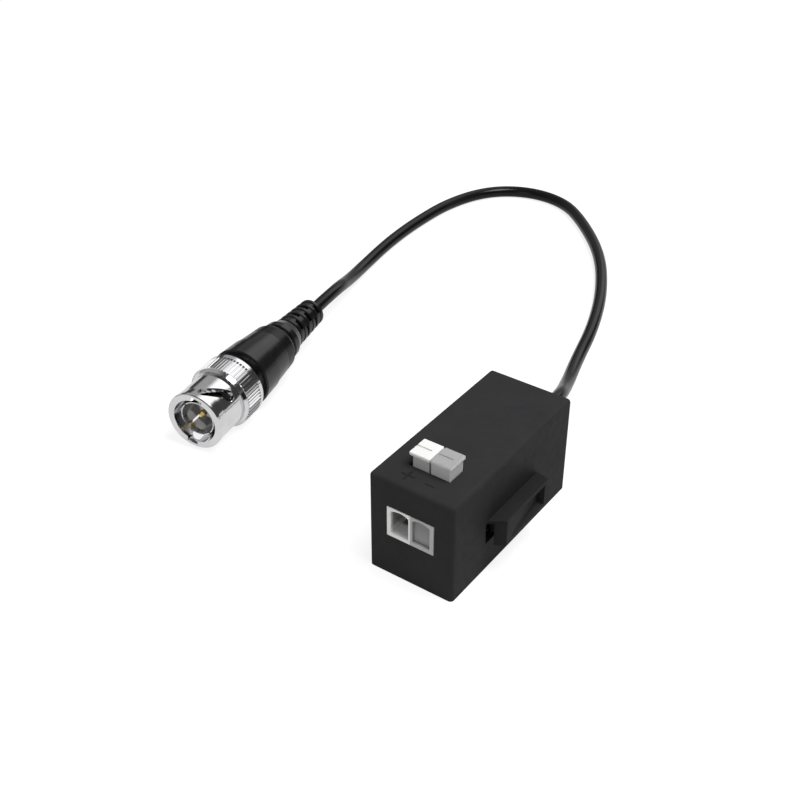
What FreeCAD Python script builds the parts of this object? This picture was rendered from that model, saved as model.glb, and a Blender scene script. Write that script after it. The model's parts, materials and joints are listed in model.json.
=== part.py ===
"""Passive video balun: a moulded box with two push terminals, a coax pigtail and a bayonet plug.

Frame: origin at the centre of the box's bottom face, X to the right, Y from the terminals to the
rear, Z up. The cable and its plug lie on the surface that the box stands on.
"""
import FreeCAD, Part
import math
import os

V = FreeCAD.Vector

# Box
body_w = 18.0            # X
body_l = 40.4            # Y
body_h = 21.3            # Z
wall = 1.2
roof = 1.4
edge_r = 0.8             # outer edges

# Bottom cover, let into the shell's rim
cover_t = 1.4
rim = 0.65               # shell wall beside the cover
cover_gap = 0.1
tongue_w = 4.0
tongue_t = 0.8
tongue_h = 3.2
tongue_in = 5.6          # from the box's ends
barb = 0.35
barb_h = 0.9

# Circuit board
board_z = 5.6            # underside
board_t = 1.0
board_gap = 0.3          # to the walls
board_short = 7.6        # rear edge to the box's rear
post_r = 1.1
post_x = 5.6
post_from_front = 3.8
post_from_rear = 9.1
stop_w = 1.1
stop_l = 1.8

# Terminals
pitch = 4.5              # between the two ways
port_w = 9.9             # both frames together
port_h = 6.4
port_down = 5.75         # roof's top to the frames' upper edge
port_proud = 0.15        # frames stand out of the front wall
port_arch = 0.55         # rise of each opening's arched top
crown_t = 0.3            # frame over its crown
arch_depth = 0.9
frame_t = 0.8
divider_t = 0.35         # of each moulding, between the ways
joint_gap = 0.04         # between the two mouldings
port_gap = 0.1           # frame to window
way_depth = 8.2
block_low = 9.2          # depth of the lower block from the front wall's outside
block_top = 11.2         # depth of the upper block
block_gap = 0.1          # block to roof

# Push buttons
cap_w = 4.3
cap_l = 4.8
cap_back = 8.1           # centre from the front wall's outside
cap_rise = 3.0           # cap top above the roof
lip_t = 0.8
cap_edge_r = 0.25
lip_front = 0.2
lip_rear = 0.4
lip_plus = 0.8           # outer overhang of the plus cap
lip_minus = 0.35         # outer overhang of the minus cap
press = 1.6              # travel
slide_gap = 0.12
groove_w = 0.4
groove_l = 3.2
groove_d = 0.3
window_left = 0.9        # gap beside the plus stem
foot_back = 0.6          # rear of the foot that pushes the spring, before the cap's centre
foot_lift = 0.15         # foot above the way's ceiling line
lug_t = 0.35
lug_h = 0.8
gate_t = 0.7
gate_seat = 0.3          # gate's lower end below the way's floor
pad_back = 0.45          # gate's front from the front wall's outside
gate_leg = 0.5           # strips beside the gate's window
arm_t = 0.8

# Contacts and clamp springs
contact_t = 0.5
contact_w = 2.6
contact_l = 5.4
pin_w = 0.8
pin_t = 0.5
pin_below = 0.9
spring_t = 0.2
spring_w = 2.4
spring_gap = 0.1

# Side rail and the socket that takes a neighbour's rail
rail_back = 10.9         # front end from the front wall's outside
rail_l = 14.5
rail_out = 4.2           # stands out of the wall
rail_slot = 1.6          # gap between wall and hook
rail_top_in = 11.3       # heights of the roof at the wall and at its outer edge
rail_top_out = 13.5
rail_low_in = 6.6        # heights of the hook's lower edges
rail_low_out = 7.7
rail_roof_t = 0.6
rail_slot_l = 3.3        # slot's length from the front end
rail_window = 0.5        # window in the wall behind the slot: below the hook
rail_window_l = 0.2      # and in front of it
rail_ramp = 3.0          # rear end slants back to the wall by this much
rail_leg_front = 1.4
rail_leg_rear = 1.4
rail_skin = 0.6
rail_core_d = 1.5        # recess at its deep, rear end
rail_foot = 0.8          # under the recess
rail_edge_r = 0.2
socket_gap = 0.3
socket_wall = 0.9
lip_l = 1.8              # socket's lip that goes into the slot

# Parts on the board, in rows from the terminals to the rear
row_gap = 0.9
suppressor_l = 4.4
suppressor_w = 3.0
suppressor_h = 2.2
parts_x = 2.0
core_w = 6.4
core_l = 5.6
core_h = 3.8
core_hole_r = 0.85
core_hole_x = 1.5
turn_r = 0.2
turn_gap = 0.45
turn_lead = 0.5
turns = 3
cap_size = (2.0, 1.25, 0.9)
cap_x = (-0.2, 4.2)
res_size = (1.6, 0.8, 0.5)
res_x = (-0.4, 3.4, 5.8)

# Cable, board end, gland
cable_r = 1.5
dielectric_r = 0.8
wire_r = 0.25
exit_x = -2.0
exit_z = 8.0
gland_neck_r = 2.65
gland_flange_r = 3.4
gland_flange_t = 1.0
gland_tail = 4.0
gland_tail_r0 = 2.9
gland_tail_r1 = 2.1
bore_gap = 0.03
clip_r = 2.3
clip_t = 1.2
jacket_in = 3.2          # jacket inside the rear wall
strip_l = 3.0            # bare dielectric beyond the jacket

# Bayonet plug, along its own axis from the front rim
ring_r = 7.25
plug_front_x = -58.6
plug_front_y = -13.2
plug_yaw = 9.45          # degrees from the box's length
plug_len = 48.6
rim_r = 6.45
barrel_r = 6.25
groove_r = 5.9
relief_s = 8.2           # front of the groove before the ring
relief_step = 0.2
bore_r = 4.95
bore_depth = 8.3
web_t = 0.7
web_gap = 0.3            # web to neck
ring_s0 = 8.8
knurl_s0 = 9.6
knurl_s1 = 14.0
ring_s1 = 15.6
knurl_count = 60
knurl_d = 0.28
chamber_r = 6.05
slot_w = 2.3
lock_s = 6.2
lock_r = 1.3
slot_s = 2.4
slot_twist = 38.0        # degrees between locking hole and entry
slot_steps = 5
lock_angle = 41.0        # place of the locking hole round the axis
lock_bevel = 0.3
entry_w = 2.4
entry_r = 5.65
neck_r = 4.4
neck_s = 8.1
flange_l = 3.8
run_gap = 0.07
face_gap = 0.1           # nut's web to flange, and snap ring to washer
collar_r = 5.15
collar_s1 = 17.6
sleeve_r = 4.0
sleeve_t = 0.45
sleeve_s = 1.1
sleeve_seat = 10.6
body_step = 4.4          # sleeve's seat to the step behind the insulator
seat_gap = 0.02
sleeve_slot_w = 0.4
sleeve_slot_s = 6.4
sleeve_slots = 4
insulator_s = 5.4
insulator_nose_r = 2.4
contact_r = 0.675
contact_s = 2.2
contact_rear = 17.0
gasket_t = 0.75
washer_t = 0.22
washer_bend = 16.0       # radius of the bent washer
washer_room = 1.5        # flange to snap ring
snap_t = 0.6
snap_bite = 0.35         # depth of the snap ring in the nut
snap_mouth = 1.2
stem_r = 2.25
stem_bore_r = 1.5
stem_s1 = 23.6
ferrule_t = 0.35
ferrule_s1 = 26.0

# Moulded boot
boot_front_r = 6.85
boot_step_s = 23.3
boot_step_r = 6.45
boot_rear_r = 5.5
boot_rear_s = 31.3
groove_count = 5
groove_pitch = 0.6
fine_d = 0.18
waist_s = 32.9
shoulder_r = 4.75
shoulder_s = 34.9
taper_s = 36.9
rib_count = 6
rib_pitch = 2.03
rib_t = 1.1
rib_r0 = 3.8
rib_r1 = 3.2
core_r = 2.65
relief_r = 1.9
relief_angle = 110.0

# Route of the free cable, from the gland to the boot, chosen by hand
route_on_floor = [
    (-6.0, 47.5, 3.2),
    (-10.2, 60.0, 1.5),
    (-14.0, 75.0, 1.5),
    (-20.3, 91.5, 1.5),
    (-29.8, 108.5, 1.5),
    (-42.7, 122.6, 1.5),
    (-52.9, 130.3, 1.5),
    (-64.5, 130.6, 1.5),
    (-74.1, 124.1, 1.5),
    (-79.0, 111.1, 1.5),
    (-79.6, 94.8, 1.5),
    (-78.7, 81.5, 1.5),
    (-76.5, 68.6, 1.6),
    (-73.0, 57.3, 3.4),
]
lead_out = 10.5
boot_lead = 11.5
arc_share = 0.45

# Derived places
side = body_w / 2
front = -body_l / 2
rear = body_l / 2
inner_x = side - wall
inner_y = rear - wall
ceiling = body_h - roof
cap_y = front + cap_back
foot_y = cap_y - foot_back
port_z = body_h - port_down - port_h
post_front = front + post_from_front
post_rear = rear - post_from_rear
tongue_y = rear - tongue_in
board_rear = rear - board_short
board_top = board_z + board_t
stem_front = cap_y - cap_l / 2 + lip_front
stem_rear = cap_y + cap_l / 2 - lip_rear
way_floor = port_z + frame_t
way_ceiling = port_z + port_h - frame_t
rail_y0 = front + rail_back
rail_y1 = rail_y0 + rail_l
rail_rise = (rail_top_out - rail_top_in) / rail_out
slide_on = lip_l + socket_gap
socket_x = -side + rail_out
sleeve_bore_r = sleeve_r - sleeve_t
chamber_s = bore_depth + web_t
flange_s0 = chamber_s + face_gap
flange_s1 = flange_s0 + flange_l
snap_s = flange_s1 + washer_room

os.makedirs("parts", exist_ok=True)


def box(x0, x1, y0, y1, z0, z1):
    return Part.makeBox(x1 - x0, y1 - y0, z1 - z0, V(x0, y0, z0))


def rounded_box(x0, x1, y0, y1, z0, z1, radius, keep_bottom=False):
    """Box with rounded edges. keep_bottom leaves the lowest edges sharp."""
    solid = box(x0, x1, y0, y1, z0, z1)
    edges = []
    for edge in solid.Edges:
        flat_on_floor = edge.BoundBox.ZMax < z0 + 1e-6
        if not (keep_bottom and flat_on_floor):
            edges.append(edge)
    return solid.makeFillet(radius, edges)


def prism_x(points, x0, x1):
    """Outline in (y, z), extruded along X."""
    loop = [V(x0, y, z) for y, z in points]
    return Part.Face(Part.makePolygon(loop + loop[:1])).extrude(V(x1 - x0, 0, 0))


def prism_y(points, y0, y1):
    """Outline in (x, z), extruded along Y."""
    loop = [V(x, y0, z) for x, z in points]
    return Part.Face(Part.makePolygon(loop + loop[:1])).extrude(V(0, y1 - y0, 0))


def prism_z(points, z0, z1):
    """Outline in (x, y), extruded upwards."""
    loop = [V(x, y, z0) for x, y in points]
    return Part.Face(Part.makePolygon(loop + loop[:1])).extrude(V(0, 0, z1 - z0))


def rod(radius, start, end):
    line = end - start
    return Part.makeCylinder(radius, line.Length, start, line)


def lathe(points):
    """Outline in (s, r), turned about the plug's own axis, which is Y here."""
    loop = [V(r, s, 0) for s, r in points]
    return Part.Face(Part.makePolygon(loop + loop[:1])).revolve(V(0, 0, 0), V(0, 1, 0), 360)


def tube(s0, s1, r_in, r_out):
    return lathe([(s0, r_in), (s0, r_out), (s1, r_out), (s1, r_in)])


def about_axis(shape, angle):
    turned = shape.copy()
    turned.rotate(V(0, 0, 0), V(0, 1, 0), angle)
    return turned


def on_plug(shape):
    """Carry a shape from the plug's own axis to where the plug lies."""
    laid = shape.copy()
    laid.rotate(V(0, 0, 0), V(0, 0, 1), plug_yaw)
    laid.translate(V(plug_front_x, plug_front_y, ring_r))
    return laid


def save(name, *solids):
    shape = solids[0] if len(solids) == 1 else Part.makeCompound(list(solids))
    shape.exportStep("parts/" + name + ".step")
    faults = [s for s in shape.Solids if not s.isValid()]
    print(name, "solids", len(shape.Solids), "volume", round(shape.Volume, 2), "faults", len(faults))


def roof_z(out):
    """Height of the rail's roof at a distance from the wall."""
    return rail_top_in + rail_rise * out


def side_rail():
    """Hook under a sloped roof: slot behind its front end, rear end slanted back to the wall."""
    root = -wall / 2
    section = [(root, rail_low_in), (root, roof_z(root)), (rail_out, rail_top_out),
               (rail_out, rail_low_out), (rail_slot, rail_low_in)]
    rail = prism_y([(side + x, z) for x, z in section], rail_y0, rail_y1 + rail_ramp)
    plan = [(side + root, rail_y0), (side + rail_out, rail_y0), (side + rail_out, rail_y1),
            (side, rail_y1 + rail_ramp), (side + root, rail_y1 + rail_ramp)]
    rail = rail.common(prism_z(plan, 0, body_h))
    edges = [e for e in rail.Edges if e.BoundBox.XMin > side + rail_out - 0.01]
    rail = rail.makeFillet(rail_edge_r, edges)
    under = [(0, 0), (0, roof_z(0) - rail_roof_t), (rail_slot, roof_z(rail_slot) - rail_roof_t),
             (rail_slot, 0)]
    slot = prism_y([(side + x, z) for x, z in under], rail_y0 - 1, rail_y0 + rail_slot_l)
    deep = rail_out - rail_core_d
    outer = rail_out + 1
    foot = rail_low_out + rail_foot
    room = [(deep, foot), (deep, roof_z(deep) - rail_skin), (rail_out, rail_top_out - rail_skin),
            (outer, rail_top_out - rail_skin), (outer, foot)]
    y0 = rail_y0 + rail_leg_front
    y1 = rail_y1 - rail_leg_rear
    floor = [(side + outer, y0), (side + rail_out, y0), (side + deep, y1), (side + outer, y1)]
    recess = prism_y([(side + x, z) for x, z in room], y0, y1).common(prism_z(floor, 0, body_h))
    return rail.cut(Part.makeCompound([slot, recess]))


def slot_window():
    """Window in the wall beside the rail's slot, which a side core of the mould leaves."""
    return box(inner_x - 1, side + rail_slot / 2, rail_y0 - rail_window_l, rail_y0 + rail_slot_l,
               rail_low_in - rail_window, roof_z(0) - rail_roof_t)


def pocket_plan(grow):
    """Plan of the pocket for a neighbour's rail, slid back by slide_on, grown by a wall."""
    y0 = rail_y0 - socket_gap
    y1 = rail_y1 + slide_on + socket_gap
    slant = math.hypot(rail_ramp, rail_out)
    nx = rail_ramp / slant
    ny = rail_out / slant
    outside = -side - 1
    return [(outside, y0 - grow), (socket_x + grow, y0 - grow),
            (socket_x + grow, y1 + grow * (1 - nx) / ny),
            (outside, y1 + (grow - (outside - socket_x) * nx) / ny)]


def socket_pocket():
    """Walls of the pocket for a neighbour's rail, and the space to cut out of them."""
    z0 = rail_low_in - socket_gap
    z1 = rail_top_out + socket_gap
    inside = box(-inner_x - 0.1, side, front, rear, 0, body_h)
    walls = prism_z(pocket_plan(socket_wall), z0 - socket_wall, z1 + socket_wall).common(inside)
    lip = box(-side - 2, -inner_x, rail_y0 - 2, rail_y0 + lip_l, 0,
              rail_top_in - rail_roof_t - socket_gap)
    return walls, prism_z(pocket_plan(0), z0, z1).cut(lip)


def tongue_places():
    for sign_x in (-1, 1):
        for sign_y in (-1, 1):
            yield sign_x, sign_y * tongue_y


def make_shell():
    shell = rounded_box(-side, side, front, rear, 0, body_h, edge_r, keep_bottom=True)
    shell = shell.cut(box(-inner_x, inner_x, -inner_y, inner_y, -1, ceiling))
    shell = shell.cut(box(-side + rim, side - rim, front + rim, rear - rim, -1, cover_t))
    pocket_walls, pocket_space = socket_pocket()
    shell = shell.fuse([pocket_walls, side_rail()])
    for sign_x in (-1, 1):
        for y in (-inner_y + stop_l / 2, post_rear):
            outer = sign_x * (inner_x + 0.1)
            inner = sign_x * (inner_x - stop_w)
            shell = shell.fuse(box(min(outer, inner), max(outer, inner), y - stop_l / 2,
                                   y + stop_l / 2, board_top, ceiling + 0.1))
    cuts = [pocket_space, slot_window(), pad_pocket()]
    port = port_w / 2 + port_gap
    cuts.append(box(-port, port, front - 1, -inner_y + 0.5, port_z - port_gap,
                    port_z + port_h + port_gap))
    plus_side = -pitch / 2 - cap_w / 2 + lip_plus - window_left
    minus_side = pitch / 2 + cap_w / 2 - lip_minus + 2 * slide_gap
    cuts.append(box(plus_side, minus_side, stem_front - slide_gap, stem_rear + slide_gap,
                    ceiling - 1, body_h + 1))
    cuts.append(rod(gland_neck_r + bore_gap, V(exit_x, inner_y - 1, exit_z), V(exit_x, rear + 1, exit_z)))
    for sign_x, y in tongue_places():
        outer = sign_x * (inner_x + barb + cover_gap)
        inner = sign_x * (inner_x - 0.5)
        top = cover_t + tongue_h
        cuts.append(box(min(outer, inner), max(outer, inner), y - tongue_w / 2 - cover_gap,
                        y + tongue_w / 2 + cover_gap, top - barb_h - cover_gap, top + cover_gap))
    return shell.cut(Part.makeCompound(cuts)).removeSplitter()


def make_cover():
    x = side - rim - cover_gap
    y = rear - rim - cover_gap
    cover = box(-x, x, -y, y, 0, cover_t)
    upright = [e for e in cover.Edges if e.BoundBox.ZLength > cover_t / 2]
    cover = cover.makeFillet(0.3, upright)
    pieces = []
    for sign_x, place in tongue_places():
        face = inner_x - cover_gap
        top = cover_t + tongue_h
        outline = [(face - tongue_t, cover_t - 0.2), (face, cover_t - 0.2), (face, top - barb_h),
                   (face + barb, top - barb_h), (face, top), (face - tongue_t, top)]
        tongue = prism_y([(sign_x * px, pz) for px, pz in outline], place - tongue_w / 2,
                         place + tongue_w / 2)
        pieces.append(tongue)
    for sign_x in (-1, 1):
        for place in (post_front, post_rear):
            pieces.append(rod(post_r, V(sign_x * post_x, place, cover_t - 0.2),
                              V(sign_x * post_x, place, board_z)))
    return cover.fuse(pieces).removeSplitter()


def way_centre(sign):
    return sign * pitch / 2


def way_span(sign):
    """Inner width of one wire way: the wide frame is outside, the divider between the ways."""
    if sign < 0:
        return -port_w / 2 + frame_t, -divider_t
    return joint_gap + divider_t, port_w / 2 - frame_t


def moulding_span(sign):
    return (-port_w / 2, 0.0) if sign < 0 else (joint_gap, port_w / 2)


def stem_span(sign):
    centre = way_centre(sign)
    if sign < 0:
        return centre - cap_w / 2 + lip_plus, centre + cap_w / 2
    return centre - cap_w / 2, centre + cap_w / 2 - lip_minus


foot_bottom = way_ceiling - foot_lift
stem_bottom = way_ceiling + press + 2 * slide_gap
lug_top = stem_bottom + lug_h
gate_y0 = front + wall + slide_gap
gate_bottom = way_floor - gate_seat
arm_z0 = way_ceiling + frame_t + press + 2 * slide_gap


def arched_mouth(x0, x1):
    """Front stretch of a wire way, whose top is a shallow arch."""
    y = front - 1
    return arched(x0, x1, y, y + arch_depth + 1, way_floor, port_z + port_h - crown_t)


def arched(x0, x1, y0, y1, z0, crown):
    """Block with a shallow arched top, as deep as y0 to y1."""
    spring = crown - port_arch
    corners = [V(x0, y0, spring), V(x0, y0, z0), V(x1, y0, z0), V(x1, y0, spring)]
    edges = [Part.LineSegment(a, b).toShape() for a, b in zip(corners, corners[1:])]
    edges.append(Part.Arc(corners[-1], V((x0 + x1) / 2, y0, crown), corners[0]).toShape())
    return Part.Face(Part.Wire(edges)).extrude(V(0, y1 - y0, 0))


def make_terminal(sign):
    x0, x1 = moulding_span(sign)
    w0, w1 = way_span(sign)
    s0, s1 = stem_span(sign)
    front_piece = box(x0, x1, front - port_proud, -inner_y + 0.5, port_z, port_z + port_h)
    low = box(x0, x1, -inner_y + cover_gap, front + block_low, board_top, way_ceiling + 1.5)
    top = box(x0, x1, -inner_y + cover_gap, front + block_top, way_ceiling + 1.4, ceiling - block_gap)
    body = front_piece.fuse([low, top])
    cuts = [box(w0, w1, front + arch_depth - 0.1, front + way_depth, way_floor, way_ceiling),
            arched_mouth(w0, w1)]
    # shaft of the button, its lug's chamber and the foot's way down to the spring
    cuts.append(box(s0 - slide_gap, s1 + slide_gap, stem_front - slide_gap, stem_rear + slide_gap,
                    stem_bottom - press - slide_gap, body_h))
    cuts.append(box(s0 + 0.5, s1 - 0.5, stem_rear - 0.1, stem_rear + lug_t + slide_gap,
                    stem_bottom - press - slide_gap, lug_top + slide_gap))
    cuts.append(box(max(s0, w0) - slide_gap, min(s1, w1) + slide_gap, stem_front - slide_gap,
                    foot_y + slide_gap, way_ceiling - 0.5, stem_bottom))
    centre = way_centre(sign)
    cuts.append(box(centre - pin_w / 2 - 0.05, centre + pin_w / 2 + 0.05, pin_y() - pin_t / 2 - 0.05,
                    pin_y() + pin_t / 2 + 0.05, board_top - 1, way_floor + 0.5))
    if sign > 0:
        g0, g1 = gate_span()
        cuts.append(box(g0 - slide_gap, g1 + slide_gap, gate_y0 - slide_gap, gate_y0 + gate_t + slide_gap,
                        gate_bottom - press - slide_gap, arm_z0 + arm_t + slide_gap))
        cuts.append(box(g0 - slide_gap, g1 + slide_gap, gate_y0 + gate_t - 0.1, stem_front + 0.1,
                        arm_z0 - press - slide_gap, arm_z0 + arm_t + slide_gap))
        cuts.append(pad_pocket())
    return body.cut(Part.makeCompound(cuts)).removeSplitter()


def gate_span():
    w0, w1 = way_span(1)
    s0, s1 = stem_span(1)
    return max(w0, s0) - 0.1, min(w1, s1) + 0.1


def pad_span():
    w0, w1 = way_span(1)
    return w0 + slide_gap, w1 - slide_gap


def pad_pocket():
    """Room below the mouth that the gate's pad sinks into."""
    p0, p1 = pad_span()
    return box(p0 - slide_gap, p1 + slide_gap, front + pad_back - slide_gap, gate_y0,
               gate_bottom - press - slide_gap, way_floor + 0.1)


def make_gate():
    """Plate from the arm down to the mouth, with a pad in the mouth and a window above the pad."""
    g0, g1 = gate_span()
    p0, p1 = pad_span()
    crown = port_z + port_h - crown_t - slide_gap
    gate = box(g0, g1, gate_y0, gate_y0 + gate_t, gate_bottom, arm_z0 + arm_t)
    gate = gate.cut(box(g0 + gate_leg, g1 - gate_leg, gate_y0 - 1, gate_y0 + gate_t + 1,
                        way_ceiling - slide_gap, arm_z0))
    pad = arched(p0, p1, front + pad_back, gate_y0 + 0.1, gate_bottom, crown)
    over = box(p0 - 1, p1 + 1, front + arch_depth - slide_gap, gate_y0 + 1, way_ceiling - slide_gap, body_h)
    return gate.fuse(pad.cut(over))


def pin_y():
    return front + way_depth - contact_l / 2


def make_button(sign):
    centre = way_centre(sign)
    top = body_h + cap_rise
    cap = rounded_box(centre - cap_w / 2, centre + cap_w / 2, cap_y - cap_l / 2, cap_y + cap_l / 2,
                      top - lip_t, top, cap_edge_r)
    cap = cap.cut(box(centre - cap_w / 2 - 1, centre - cap_w / 2 + groove_l, cap_y - groove_w / 2,
                      cap_y + groove_w / 2, top - groove_d, top + 1))
    s0, s1 = stem_span(sign)
    w0, w1 = way_span(sign)
    stem = box(s0, s1 - (slide_gap if sign < 0 else 0), stem_front, stem_rear, stem_bottom, top - lip_t / 2)
    if sign > 0:
        stem = box(s0 + slide_gap, s1, stem_front, stem_rear, stem_bottom, top - lip_t / 2)
    foot = box(max(s0, w0) + slide_gap, min(s1, w1) - slide_gap, stem_front, foot_y, foot_bottom,
               stem_bottom + 0.2)
    lug = box(s0 + 0.6, s1 - 0.6, stem_rear - 0.2, stem_rear + lug_t, stem_bottom, lug_top)
    pieces = [stem, foot, lug]
    if sign > 0:
        g0, g1 = gate_span()
        pieces.append(box(g0, g1, gate_y0, stem_front + 0.2, arm_z0, arm_z0 + arm_t))
        pieces.append(make_gate())
    return cap.fuse(pieces).removeSplitter()


def make_contact(sign):
    centre = way_centre(sign)
    y1 = front + way_depth - 0.05
    floor = way_floor + 0.02
    bar = box(centre - contact_w / 2, centre + contact_w / 2, y1 - contact_l, y1, floor, floor + contact_t)
    back = box(centre - contact_w / 2, centre + contact_w / 2, y1 - 0.4, y1, floor, way_ceiling - 0.6)
    pin = box(centre - pin_w / 2, centre + pin_w / 2, pin_y() - pin_t / 2, pin_y() + pin_t / 2,
              board_z - pin_below, floor + contact_t / 2)
    return bar.fuse([back, pin]).removeSplitter()


def make_clamp_spring(sign):
    """Bent leaf from the contact's back, under the foot, down to the contact bar."""
    centre = way_centre(sign)
    top = foot_bottom - spring_gap
    back = front + way_depth - 0.5
    low = way_floor + contact_t + 0.07
    bend = stem_front + 0.6
    tip = bend - 2.2
    outline = [(back, top), (bend, top), (tip, low + spring_t), (tip, low), (bend, top - spring_t),
               (back - spring_t, top - spring_t), (back - spring_t, top - 1.6), (back, top - 1.6)]
    return prism_x(outline, centre - spring_w / 2, centre + spring_w / 2)


def make_board():
    x = inner_x - board_gap
    board = box(-x, x, -inner_y + board_gap, board_rear, board_z, board_top)
    board = board.cut(prism_z(pocket_plan(socket_wall + board_gap), 0, body_h))
    holes = []
    for sign in (-1, 1):
        centre = way_centre(sign)
        holes.append(box(centre - pin_w / 2 - 0.05, centre + pin_w / 2 + 0.05, pin_y() - pin_t / 2 - 0.05,
                         pin_y() + pin_t / 2 + 0.05, 0, body_h))
    return board.cut(Part.makeCompound(holes))


def winding_reach():
    """How far the winding stands out of the core at each end."""
    return turn_lead + core_hole_x + turn_r


def row_places():
    """Centre line of each row of parts, from the terminals to the rear."""
    suppressor_y = front + block_low + row_gap + suppressor_w / 2
    core_y = suppressor_y + suppressor_w / 2 + 0.5 + winding_reach() + core_l / 2
    cap_row = core_y + core_l / 2 + winding_reach() + 0.5 + cap_size[1] / 2
    res_row = cap_row + cap_size[1] / 2 + row_gap + res_size[1] / 2
    return suppressor_y, core_y, cap_row, res_row


def make_core():
    core_y = row_places()[1]
    core = rounded_box(parts_x - core_w / 2, parts_x + core_w / 2, core_y - core_l / 2,
                       core_y + core_l / 2, board_top, board_top + core_h, 0.4, keep_bottom=True)
    mid = board_top + core_h / 2
    holes = []
    for sign in (-1, 1):
        x = parts_x + sign * core_hole_x
        holes.append(rod(core_hole_r, V(x, core_y - core_l, mid), V(x, core_y + core_l, mid)))
    return core.cut(Part.makeCompound(holes))


def make_turn(z):
    """One closed turn through both holes, round at its two ends."""
    core_y = row_places()[1]
    half = core_l / 2 + turn_lead
    path = []
    a = V(parts_x - core_hole_x, core_y - half, z)
    b = V(parts_x - core_hole_x, core_y + half, z)
    c = V(parts_x + core_hole_x, core_y + half, z)
    d = V(parts_x + core_hole_x, core_y - half, z)
    path.append(Part.LineSegment(a, b).toShape())
    path.append(Part.Arc(b, V(parts_x, core_y + half + core_hole_x, z), c).toShape())
    path.append(Part.LineSegment(c, d).toShape())
    path.append(Part.Arc(d, V(parts_x, core_y - half - core_hole_x, z), a).toShape())
    section = Part.Wire(Part.makeCircle(turn_r, a, V(0, 1, 0)))
    return Part.Wire(path).makePipeShell([section], True, False)


def chips(size, places, y):
    """Chip parts on the board: a body with a metal-capped step at each end, one solid each."""
    length, width, height = size
    out = []
    for x in places:
        body = box(x - length / 2 + 0.25, x + length / 2 - 0.25, y - width / 2 + 0.04,
                   y + width / 2 - 0.04, board_top, board_top + height - 0.04)
        for sign in (-1, 1):
            end = x + sign * (length / 2 - 0.15)
            body = body.fuse(box(end - 0.15, end + 0.15, y - width / 2, y + width / 2, board_top,
                                 board_top + height))
        out.append(body)
    return out


def make_suppressor():
    """Moulded surge suppressor across the two terminals, with a foot at each end."""
    y = row_places()[0]
    half = suppressor_l / 2
    top = board_top + suppressor_h
    outline = [(parts_x - half, board_top + 0.2), (parts_x - half + 0.2, top),
               (parts_x + half - 0.2, top), (parts_x + half, board_top + 0.2)]
    body = prism_y(outline, y - suppressor_w / 2, y + suppressor_w / 2)
    for sign in (-1, 1):
        end = parts_x + sign * half
        body = body.fuse(box(end - 0.5, end + 0.5, y - suppressor_w * 0.3, y + suppressor_w * 0.3,
                             board_top, board_top + 0.3))
    return body.removeSplitter()


def make_gland():
    """Rubber gland: a flange each side of the wall, a neck through it and a tapered tail."""
    bore = cable_r + bore_gap
    y_in = inner_y - gland_flange_t
    y_out = rear + gland_flange_t
    outline = [(y_in, bore), (y_in, gland_flange_r), (inner_y, gland_flange_r), (inner_y, gland_neck_r),
               (rear, gland_neck_r), (rear, gland_flange_r), (y_out, gland_flange_r),
               (y_out, gland_tail_r0), (y_out + gland_tail, gland_tail_r1), (y_out + gland_tail, bore)]
    gland = lathe(outline)
    gland.translate(V(exit_x, 0, exit_z))
    return gland


def exit_y():
    return rear + gland_flange_t + gland_tail


def make_cable_board_end():
    return rod(cable_r, V(exit_x, inner_y - jacket_in, exit_z), V(exit_x, exit_y(), exit_z))


def make_cable_clip():
    y1 = inner_y - gland_flange_t
    clip = lathe([(y1 - clip_t, cable_r + bore_gap), (y1 - clip_t, clip_r), (y1, clip_r),
                  (y1, cable_r + bore_gap)])
    clip.translate(V(exit_x, 0, exit_z))
    return clip


def make_stripped_end():
    """Dielectric and centre wire from the jacket's end to their pad on the board."""
    y0 = inner_y - jacket_in
    y1 = y0 - strip_l
    core = rod(dielectric_r, V(exit_x, y0, exit_z), V(exit_x, y1, exit_z))
    forward = V(exit_x, y1 - 1.2, exit_z)
    down = V(exit_x, y1 - 1.2, board_top)
    wire = rod(wire_r, V(exit_x, y1 + 0.5, exit_z), forward)
    return core.fuse([wire, Part.makeSphere(wire_r, forward), rod(wire_r, forward, down)])


def make_braid_tail():
    """Twisted braid, beside the dielectric, down to the ground pad."""
    y0 = inner_y - jacket_in
    radius = 0.4
    a = V(exit_x + cable_r - radius, y0, exit_z)
    b = V(exit_x + 2.6, y0 - 2.6, exit_z - 0.3)
    c = V(exit_x + 3.4, y0 - 4.2, board_top + 0.02)
    first = rod(radius, a, b)
    joint = Part.makeSphere(radius, b)
    last = rod(radius, b, c)
    tail = first.fuse([joint, last])
    return tail.cut(box(-side, side, front, rear, 0, board_top)).cut(
        box(-side, side, y0, rear, 0, body_h))


def plug_point(s):
    yaw = math.radians(plug_yaw)
    return V(plug_front_x - math.sin(yaw) * s, plug_front_y + math.cos(yaw) * s, ring_r)


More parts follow.
